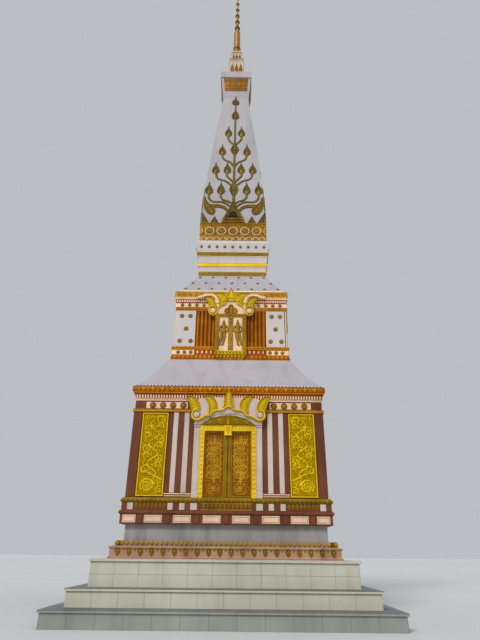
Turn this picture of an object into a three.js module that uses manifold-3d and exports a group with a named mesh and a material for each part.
import * as THREE from 'three';
import { mergeVertices } from 'three/addons/utils/BufferGeometryUtils.js';
import Module from 'manifold-3d';

// A square tower stupa. Millimetres, +Z up, origin at ground level under the mast.
// The front, with the pair of doors, faces -Y.

// Clearance between a plaster or timber piece and the masonry that it is seated on
const SEAT = 0.3;

// Terraces: half width of the tread's nosing, level of the tread
const NOSING_RISE = 60;
const NOSING_REACH = 40;
const TERRACES = [
  { name: 'terrace_lower', half: 4050, bottom: 0, top: 370 },
  { name: 'terrace_middle', half: 3650, bottom: 370, top: 760 },
  { name: 'terrace_upper', half: 3275, bottom: 760, top: 1366 },
];

// Plinth: [half width, level] from the bottom up
const LOTUS_BASE = [
  [2925, 1366], [2925, 1400], [2895, 1430], [2895, 1585], [2925, 1610], [2925, 1640],
];
const PLINTH_WALL = [[2625, 1640], [2625, 2170]];
const PLINTH_BAND = [
  [2760, 2170], [2760, 2400], [2785, 2405], [2800, 2430], [2800, 2465], [2785, 2490],
  [2750, 2500], [2750, 2690],
];
const BASE_MOULDING = [
  [2765, 2690], [2765, 2705], [2785, 2720], [2790, 2745], [2780, 2770], [2750, 2785], [2745, 2815],
];
const FLOOR = 2815;

// Chamber of the lower storey
const WALL_HALF = 2680;
const WALL_THICKNESS = 450;
const WALL_TOP = 5117;
const INNER_HALF = WALL_HALF - WALL_THICKNESS;

// Doorway
const FRAME_WIDTH = 125;
const OPENING_HALF = 650;
const PORTAL_HALF = OPENING_HALF + FRAME_WIDTH;
const OPENING_TOP = 4580;
const PORTAL_TOP = 4750;
const FRAME_PROUD = 60;
const FRAME_DEPTH = 130;

// Door leaves, hung on the inner face of the frame
const LEAF_THICKNESS = 50;
const LEAF_GAP = 6;
const MEETING_GAP = 12;
const LEAF_FOOT = FLOOR + 10;
const LEAF_HEAD = OPENING_TOP - 10;
const STILE_WIDTH = 95;
const STILE_PROUD = 25;
const STILE_SETBACK = 6;
const LEAF_INNER_Y = -(WALL_HALF + FRAME_PROUD - FRAME_DEPTH);
const BARREL_RADIUS = 13.7;
const BARREL_LENGTH = 120;
const BARREL_LEVELS = [3050, 3700, 4350];
const HINGE_SETBACK = 1;
const HINGE_X = OPENING_HALF + HINGE_SETBACK;
const HINGE_Y = LEAF_INNER_Y + BARREL_RADIUS + SEAT;
const STRAP_LENGTH = 160;
const STRAP_THICKNESS = 8;

// Plaster portal round each door
const PILASTER_OUTER = 950;
const PILASTER_PROUD = 45;
const CORBEL_TOP = 5100;
const TYMPANUM_PROUD = 110;

// Carved gilded panels beside the doors
const PANEL_INNER = 1700;
const PANEL_OUTER = 2420;
const PANEL_BOTTOM = 2850;
const PANEL_TOP = 5080;
const PANEL_PROUD = 45;

// Lower cornice and roof: [half width, level] from the bottom up
const LOWER_CORNICE = [
  [2690, 5117], [2712, 5132], [2715, 5160], [2706, 5188], [2680, 5200], [2670, 5200], [2670, 5500],
  [2680, 5500], [2690, 5580], [2720, 5660], [2745, 5660], [2755, 5700], [2776, 5740], [2780, 5790],
  [2772, 5840], [2750, 5870], [2725, 5870], [2715, 5910],
];
const LOWER_ROOF = [[2690, 5910], [2440, 6180], [2160, 6595], [1930, 7000]];

// Upper storey
const UPPER_BASE = [
  [1880, 7000], [1898, 7030], [1900, 7080], [1885, 7130], [1865, 7150], [1865, 7370], [1882, 7380],
  [1890, 7420], [1884, 7460], [1850, 7500],
];
const UPPER_HALF = 1820;
const UPPER_BOTTOM = 7500;
const UPPER_TOP = 8800;
const PIER_INNER = 1160;
const RIB_RECESS = 45;
const NICHE_OUTER = 530;
const UPPER_CORNICE = [
  [1830, 8800], [1845, 8830], [1845, 8890], [1830, 8920], [1855, 8920], [1855, 9120], [1860, 9120],
  [1868, 9200], [1895, 9270], [1900, 9280], [1910, 9340], [1906, 9420], [1880, 9500], [1800, 9500],
  [1775, 9600],
];
const UPPER_ROOF = [[1735, 9600], [1205, 10514]];

// Upper false doors: a frame with two panels, each with a standing figure
const NICHE_BOTTOM = 7170;
const NICHE_TOP = 8705;
const NICHE_BACK = 1900;
const NICHE_FRONT = 1975;
const NICHE_PANEL_DEPTH = 35;
const NICHE_PANELS = { inner: 60, outer: 385, bottom: 7400, top: 8560 };
const FIGURE_HEIGHT = 1000;
const FIGURE_DEPTH = 60;

// Flame gables: spread to each side, bottom of the scrolls, tip, rise of the arch under them as a
// fraction of the height, plane of the back, depth, half width of the plain field under the arch
const LOWER_GABLE = { spread: 1200, bottom: 4890, top: 5800, arch: 0.34, back: 2780, depth: 95, field: 600 };
const UPPER_GABLE = { spread: 940, bottom: 8665, top: 9620, arch: 0.56, back: 1910, depth: 75, field: 500 };

// Spire
const SPIRE_PEDESTAL = [
  [1205, 10514], [1255, 11180], [1320, 11580], [1358, 11864], [1255, 12030],
];
const SPIRE_COLLAR = [[1240, 12030], [1240, 12850]];
const SPIRE_SHAFT = [
  [1222, 12850], [1222, 13150], [1200, 13550], [1155, 14350], [1110, 15000], [1050, 15700],
  [1000, 16360], [920, 17120], [840, 17900], [745, 18740], [650, 19600], [570, 20450],
];
const SPIRE_CAPITAL = [
  [570, 20450], [600, 20620], [600, 20700], [660, 21250], [685, 21700], [725, 21700], [725, 22100],
];
const FINIAL_PEDESTAL = [
  [412, 22100], [412, 22350], [355, 22420], [320, 23300], [350, 23420], [350, 23560],
  [290, 23620], [225, 24060], [255, 24120], [255, 24260],
];
const FINIAL_SHAFT = [
  [0, 24260], [165, 24260], [150, 24680], [190, 24700], [190, 24780], [155, 24800],
  [150, 26050], [0, 26050],
];

// Mast with its rings: [radius, level]; the tiers are shallow umbrellas
const MAST_RADIUS = 80;
const MAST_BOTTOM = 26050;
const MAST_TOP = 29400;
const MAST_TIERS = [
  { level: 26380, radius: 150 },
  { level: 26900, radius: 130 },
  { level: 27420, radius: 118 },
  { level: 27940, radius: 106 },
  { level: 28460, radius: 94 },
];
const TIER_RISE = 90;
const ROUND_SEGMENTS = 12;

// Colours, roughness and metalness
const FINISHES = {
  darkTile: { color: 0x5c615f, roughness: 0.7, metalness: 0 },
  paleTile: { color: 0x8d8c82, roughness: 0.65, metalness: 0 },
  plinth: { color: 0x9c9a96, roughness: 0.8, metalness: 0 },
  pink: { color: 0xb98a7c, roughness: 0.7, metalness: 0 },
  brown: { color: 0x73382a, roughness: 0.7, metalness: 0 },
  white: { color: 0xcfcad2, roughness: 0.75, metalness: 0 },
  gold: { color: 0xc89a18, roughness: 0.4, metalness: 0.6 },
  orange: { color: 0xaa5a18, roughness: 0.55, metalness: 0.2 },
  mast: { color: 0xb07a20, roughness: 0.4, metalness: 0.6 },
};

const wasm = await Module();
wasm.setup();

// A closed geometry as a solid that can be joined and cut
function solidOf(geometry) {
  const bare = geometry.index ? geometry.toNonIndexed() : geometry.clone();
  bare.deleteAttribute('normal');
  bare.deleteAttribute('uv');
  const merged = mergeVertices(bare, 1e-3);
  const vertProperties = new Float32Array(merged.attributes.position.array);
  const triVerts = new Uint32Array(merged.index.array);
  return new wasm.Manifold(new wasm.Mesh({ numProp: 3, vertProperties, triVerts }));
}

function geometryOf(solid) {
  const mesh = solid.getMesh();
  const geometry = new THREE.BufferGeometry();
  geometry.setAttribute('position', new THREE.BufferAttribute(mesh.vertProperties, 3));
  geometry.setIndex(new THREE.BufferAttribute(mesh.triVerts, 1));
  geometry.computeVertexNormals();
  return geometry;
}

// All the given geometries fused into one
function fused(geometries) {
  return geometryOf(geometries.map(solidOf).reduce((whole, next) => whole.add(next)));
}

// The first geometry with the others cut out of it
function cutFrom(body, tools) {
  return geometryOf(tools.map(solidOf).reduce((left, tool) => left.subtract(tool), solidOf(body)));
}

// A box between two corners
function block([x0, y0, z0], [x1, y1, z1]) {
  const box = new THREE.BoxGeometry(x1 - x0, y1 - y0, z1 - z0);
  return box.translate((x0 + x1) / 2, (y0 + y1) / 2, (z0 + z1) / 2);
}

// A square moulding: the profile of [half width, level] carried round a square plan.
// A lathe of four segments turned by an eighth of a turn has its corners on the diagonals.
function squareTurned(profile) {
  const first = profile[0];
  const last = profile[profile.length - 1];
  const outline = [[0, first[1]], ...profile, [0, last[1]]];
  const points = outline.map(([half, level]) => new THREE.Vector2(half * Math.SQRT2, level));
  return new THREE.LatheGeometry(points, 4, Math.PI / 4).rotateX(Math.PI / 2);
}

// A round turning of [radius, level] points that start and end on the axis
function roundTurned(profile) {
  const points = profile.map(([radius, level]) => new THREE.Vector2(radius, level));
  return new THREE.LatheGeometry(points, ROUND_SEGMENTS).rotateX(Math.PI / 2);
}

// A flat outline in X and Z, given depth towards the front from the plane y = -back
function frontPlate(outline, back, depth) {
  const plate = new THREE.ExtrudeGeometry(outline, { depth, bevelEnabled: false });
  return plate.rotateX(Math.PI / 2).translate(0, -back, 0);
}

// The outline of a flame gable: a middle leaf, and two leaning leaves and a scroll on each side,
// over an arch. Points are fractions of the spread and of the height.
function gableOutline({ spread, bottom, top, arch }) {
  const half = new THREE.Path();
  half.moveTo(0, 1);
  half.quadraticCurveTo(0.14, 0.78, 0.108, arch + 0.1);
  half.lineTo(0.18, arch + 0.05);
  half.lineTo(0.235, arch + 0.07);
  half.bezierCurveTo(0.23, 0.66, 0.38, 0.8, 0.61, 0.79);
  half.quadraticCurveTo(0.44, 0.62, 0.46, 0.28);
  half.lineTo(0.667, 0.23);
  half.bezierCurveTo(0.58, 0.5, 0.68, 0.8, 1, 0.77);
  half.quadraticCurveTo(0.9, 0.6, 0.9, 0.36);
  half.quadraticCurveTo(0.88, 0.02, 0.7, 0);
  half.quadraticCurveTo(0.6, 0.03, 0.54, 0.14);
  half.quadraticCurveTo(0.44, 0.12, 0.38, 0.22);
  half.quadraticCurveTo(0.3, arch - 0.04, 0.14, arch - 0.04);
  half.quadraticCurveTo(0.08, arch, 0, arch);
  const right = half.getPoints(4);
  const left = right.slice(1, -1).reverse().map((p) => new THREE.Vector2(-p.x, p.y));
  const scaled = [...right, ...left].map(
    (p) => new THREE.Vector2(p.x * spread, bottom + p.y * (top - bottom)),
  );
  return new THREE.Shape(scaled);
}

function gable(sizes) {
  return frontPlate(gableOutline(sizes), sizes.back + SEAT, sizes.depth);
}

// The plain field under a gable's arch, half as deep as the gable
function archPlate({ bottom, top, arch, back, depth, field }) {
  const crown = bottom + (arch + 0.06) * (top - bottom);
  const outline = new THREE.Shape();
  outline.moveTo(-field, bottom);
  outline.lineTo(field, bottom);
  outline.quadraticCurveTo(0.7 * field, crown, 0, crown);
  outline.quadraticCurveTo(-0.7 * field, crown, -field, bottom);
  return frontPlate(outline, back + SEAT, depth / 2);
}

// White plaster portal: two pilasters, a corbelled tympanum and the flame gable on it
function doorSurround() {
  const back = -(WALL_HALF + SEAT);
  const front = -(WALL_HALF + PILASTER_PROUD);
  const pilasters = [-1, 1].map((side) =>
    block(
      [Math.min(side * PORTAL_HALF, side * PILASTER_OUTER), front, FLOOR + SEAT],
      [Math.max(side * PORTAL_HALF, side * PILASTER_OUTER), back, PORTAL_TOP + PILASTER_PROUD],
    ),
  );
  const outline = new THREE.Shape();
  outline.moveTo(-PILASTER_OUTER, PORTAL_TOP + SEAT);
  outline.lineTo(PILASTER_OUTER, PORTAL_TOP + SEAT);
  outline.lineTo(PILASTER_OUTER, CORBEL_TOP - 160);
  outline.lineTo(PILASTER_OUTER - 120, CORBEL_TOP);
  outline.lineTo(-PILASTER_OUTER + 120, CORBEL_TOP);
  outline.lineTo(-PILASTER_OUTER, CORBEL_TOP - 160);
  const tympanum = frontPlate(outline, WALL_HALF + SEAT, TYMPANUM_PROUD);
  return fused([...pilasters, tympanum, archPlate(LOWER_GABLE), gable(LOWER_GABLE)]);
}

// Gilded frame of a doorway: two jambs and a head with a keystone block
function doorFrame(back, front) {
  const jambs = [-1, 1].map((side) =>
    block(
      [Math.min(side * OPENING_HALF, side * (PORTAL_HALF - SEAT)), front, FLOOR + SEAT],
      [Math.max(side * OPENING_HALF, side * (PORTAL_HALF - SEAT)), back, PORTAL_TOP - SEAT],
    ),
  );
  const head = block(
    [-PORTAL_HALF + SEAT, front, OPENING_TOP],
    [PORTAL_HALF - SEAT, back, PORTAL_TOP - SEAT],
  );
  return fused([...jambs, head]);
}

// One door leaf, for the side -1 (left) or 1 (right): panel, meeting stile, hinge straps and barrels
function doorLeaf(side) {
  const spanX = (inner, outer) => [side * inner, side * outer].sort((a, b) => a - b);
  const [x0, x1] = spanX(MEETING_GAP / 2, OPENING_HALF - LEAF_GAP);
  const slab = block(
    [x0, LEAF_INNER_Y - LEAF_THICKNESS, LEAF_FOOT],
    [x1, LEAF_INNER_Y, LEAF_HEAD],
  );
  const [s0, s1] = spanX(MEETING_GAP / 2 + STILE_SETBACK, STILE_WIDTH);
  const stileFront = LEAF_INNER_Y - LEAF_THICKNESS - STILE_PROUD;
  const stile = block([s0, stileFront, LEAF_FOOT], [s1, LEAF_INNER_Y - 5, LEAF_HEAD]);
  const [b0, b1] = spanX(OPENING_HALF - STRAP_LENGTH, OPENING_HALF - LEAF_GAP);
  const hinges = BARREL_LEVELS.flatMap((level) => {
    const barrel = new THREE.CylinderGeometry(BARREL_RADIUS, BARREL_RADIUS, BARREL_LENGTH, ROUND_SEGMENTS);
    const strap = block(
      [b0, LEAF_INNER_Y - 1, level - BARREL_LENGTH / 2],
      [b1, LEAF_INNER_Y + STRAP_THICKNESS, level + BARREL_LENGTH / 2],
    );
    return [barrel.rotateX(Math.PI / 2).translate(side * HINGE_X, HINGE_Y, level), strap];
  });
  return fused([slab, stile, ...hinges]);
}

// Blind door in plaster: frame and two closed leaves in one piece
function falseDoor() {
  const back = -(WALL_HALF + SEAT);
  const front = -(WALL_HALF + FRAME_PROUD);
  const panel = block(
    [-OPENING_HALF - 5, -(WALL_HALF + 25), FLOOR + SEAT],
    [OPENING_HALF + 5, back, OPENING_TOP + 5],
  );
  const stile = block(
    [-STILE_WIDTH, -(WALL_HALF + 25 + STILE_PROUD), FLOOR + SEAT],
    [STILE_WIDTH, back, OPENING_TOP + 5],
  );
  return fused([doorFrame(back, front), panel, stile]);
}

// Standing figure in low relief: a plain outline of crown, head, shoulders and robe
function figureOutline(centre, foot) {
  const h = FIGURE_HEIGHT;
  const half = new THREE.Path();
  half.moveTo(0, h);
  half.lineTo(0.035 * h, 0.9 * h);
  half.quadraticCurveTo(0.075 * h, 0.84 * h, 0.03 * h, 0.78 * h);
  half.lineTo(0.125 * h, 0.74 * h);
  half.quadraticCurveTo(0.15 * h, 0.6 * h, 0.09 * h, 0.5 * h);
  half.quadraticCurveTo(0.12 * h, 0.25 * h, 0.11 * h, 0);
  half.lineTo(0, 0);
  const right = half.getPoints(3);
  const left = right.slice(1, -1).reverse().map((p) => new THREE.Vector2(-p.x, p.y));
  return new THREE.Shape([...right, ...left].map((p) => new THREE.Vector2(centre + p.x, foot + p.y)));
}

// Upper false door: framed block with two sunk panels and figures, and the flame gable on it
function upperNiche() {
  const neck = block(
    [-NICHE_OUTER, -(NICHE_BACK + 20), UPPER_BOTTOM + SEAT],
    [NICHE_OUTER, -(UPPER_HALF - RIB_RECESS + SEAT), UPPER_TOP - SEAT],
  );
  const front = block(
    [-NICHE_OUTER, -NICHE_FRONT, NICHE_BOTTOM],
    [NICHE_OUTER, -(NICHE_BACK + SEAT), NICHE_TOP],
  );
  const { inner, outer, bottom, top } = NICHE_PANELS;
  const sunk = [-1, 1].map((side) =>
    block(
      [Math.min(side * inner, side * outer), -NICHE_FRONT - 10, bottom],
      [Math.max(side * inner, side * outer), -NICHE_FRONT + NICHE_PANEL_DEPTH, top],
    ),
  );
  const framed = cutFrom(fused([neck, front]), sunk);
  const middle = (inner + outer) / 2;
  const figures = [-middle, middle].map((centre) =>
    frontPlate(
      figureOutline(centre, bottom + 20),
      NICHE_FRONT - NICHE_PANEL_DEPTH - 5,
      FIGURE_DEPTH,
    ),
  );
  return fused([framed, ...figures, archPlate(UPPER_GABLE), gable(UPPER_GABLE)]);
}

// Upper storey: corner piers with a shallow recess between them on each side
function upperStorey() {
  const body = block([-UPPER_HALF, -UPPER_HALF, UPPER_BOTTOM], [UPPER_HALF, UPPER_HALF, UPPER_TOP]);
  const recesses = [0, 1, 2, 3].map((quarter) =>
    block(
      [-PIER_INNER, -UPPER_HALF - 10, UPPER_BOTTOM - 10],
      [PIER_INNER, -UPPER_HALF + RIB_RECESS, UPPER_TOP + 10],
    ).rotateZ((quarter * Math.PI) / 2),
  );
  return cutFrom(body, recesses);
}

// Mast: a rod that tapers to a point through shallow umbrella rings
function mast() {
  const profile = [[0, MAST_BOTTOM], [MAST_RADIUS * 1.6, MAST_BOTTOM], [MAST_RADIUS, MAST_BOTTOM + 60]];
  for (const { level, radius } of MAST_TIERS) {
    const rod = (MAST_RADIUS * (MAST_TOP + 600 - level)) / (MAST_TOP + 600 - MAST_BOTTOM);
    profile.push([rod, level], [radius, level + 10], [rod, level + TIER_RISE]);
  }
  profile.push([30, MAST_TOP - 300], [0, MAST_TOP]);
  return roundTurned(profile);
}

const stupa = new THREE.Group();

function addPiece(parent, name, finish, geometry) {
  const mesh = new THREE.Mesh(geometry, new THREE.MeshStandardMaterial(FINISHES[finish]));
  mesh.name = name;
  parent.add(mesh);
  return mesh;
}

// Terraces, each with a tread that juts out over its riser
for (const { name, half, bottom, top } of TERRACES) {
  const riser = half - NOSING_REACH;
  const step = top - NOSING_RISE;
  const finish = name === 'terrace_upper' ? 'paleTile' : 'darkTile';
  addPiece(stupa, name, finish, squareTurned([[riser, bottom], [riser, step], [half, step], [half, top]]));
}

// Plinth
addPiece(stupa, 'lotus_base', 'pink', squareTurned(LOTUS_BASE));
addPiece(stupa, 'plinth_wall', 'plinth', squareTurned(PLINTH_WALL));
addPiece(stupa, 'plinth_panel_band', 'brown', squareTurned(PLINTH_BAND));
addPiece(stupa, 'base_moulding', 'gold', squareTurned(BASE_MOULDING));

// Chamber walls, in six plain pieces round the doorway
const WALLS = {
  wall_front_left: [[-WALL_HALF, -WALL_HALF, FLOOR], [-PORTAL_HALF, -INNER_HALF, WALL_TOP]],
  wall_front_right: [[PORTAL_HALF, -WALL_HALF, FLOOR], [WALL_HALF, -INNER_HALF, WALL_TOP]],
  wall_front_over_door: [[-PORTAL_HALF, -WALL_HALF, PORTAL_TOP], [PORTAL_HALF, -INNER_HALF, WALL_TOP]],
  wall_back: [[-WALL_HALF, INNER_HALF, FLOOR], [WALL_HALF, WALL_HALF, WALL_TOP]],
  wall_left: [[-WALL_HALF, -INNER_HALF, FLOOR], [-INNER_HALF, INNER_HALF, WALL_TOP]],
  wall_right: [[INNER_HALF, -INNER_HALF, FLOOR], [WALL_HALF, INNER_HALF, WALL_TOP]],
};
for (const [name, [low, high]] of Object.entries(WALLS)) {
  addPiece(stupa, name, 'brown', block(low, high));
}

// What repeats on the four sides, each side a group turned about the axis of the stupa
const SIDES = ['front', 'right', 'back', 'left'];
SIDES.forEach((side, quarter) => {
  const face = new THREE.Group();
  face.rotation.z = (quarter * Math.PI) / 2;
  stupa.add(face);
  for (const [hand, sign] of [['left', -1], ['right', 1]]) {
    addPiece(face, `gold_panel_${side}_${hand}`, 'gold', block(
      [Math.min(sign * PANEL_INNER, sign * PANEL_OUTER), -(WALL_HALF + PANEL_PROUD), PANEL_BOTTOM],
      [Math.max(sign * PANEL_INNER, sign * PANEL_OUTER), -(WALL_HALF + SEAT), PANEL_TOP],
    ));
  }
  addPiece(face, `door_surround_${side}`, 'white', doorSurround());
  addPiece(face, `upper_niche_${side}`, 'gold', upperNiche());
  if (side !== 'front') addPiece(face, `false_door_${side}`, 'gold', falseDoor());
});

// The doorway that opens
addPiece(stupa, 'door_frame_front', 'gold', doorFrame(LEAF_INNER_Y, -(WALL_HALF + FRAME_PROUD)));
addPiece(stupa, 'door_leaf_left', 'gold', doorLeaf(-1));
addPiece(stupa, 'door_leaf_right', 'gold', doorLeaf(1));

// Masonry above the chamber
addPiece(stupa, 'lower_cornice', 'orange', squareTurned(LOWER_CORNICE));
addPiece(stupa, 'lower_roof', 'white', squareTurned(LOWER_ROOF));
addPiece(stupa, 'upper_base', 'gold', squareTurned(UPPER_BASE));
addPiece(stupa, 'upper_storey', 'brown', upperStorey());
addPiece(stupa, 'upper_cornice', 'orange', squareTurned(UPPER_CORNICE));
addPiece(stupa, 'upper_roof', 'white', squareTurned(UPPER_ROOF));
addPiece(stupa, 'spire_pedestal', 'white', squareTurned(SPIRE_PEDESTAL));
addPiece(stupa, 'spire_collar', 'gold', squareTurned(SPIRE_COLLAR));
addPiece(stupa, 'spire_shaft', 'white', squareTurned(SPIRE_SHAFT));
addPiece(stupa, 'spire_capital', 'gold', squareTurned(SPIRE_CAPITAL));
addPiece(stupa, 'finial_pedestal', 'white', squareTurned(FINIAL_PEDESTAL));
addPiece(stupa, 'finial_shaft', 'gold', roundTurned(FINIAL_SHAFT));
addPiece(stupa, 'umbrella_mast', 'mast', mast());

export default stupa;
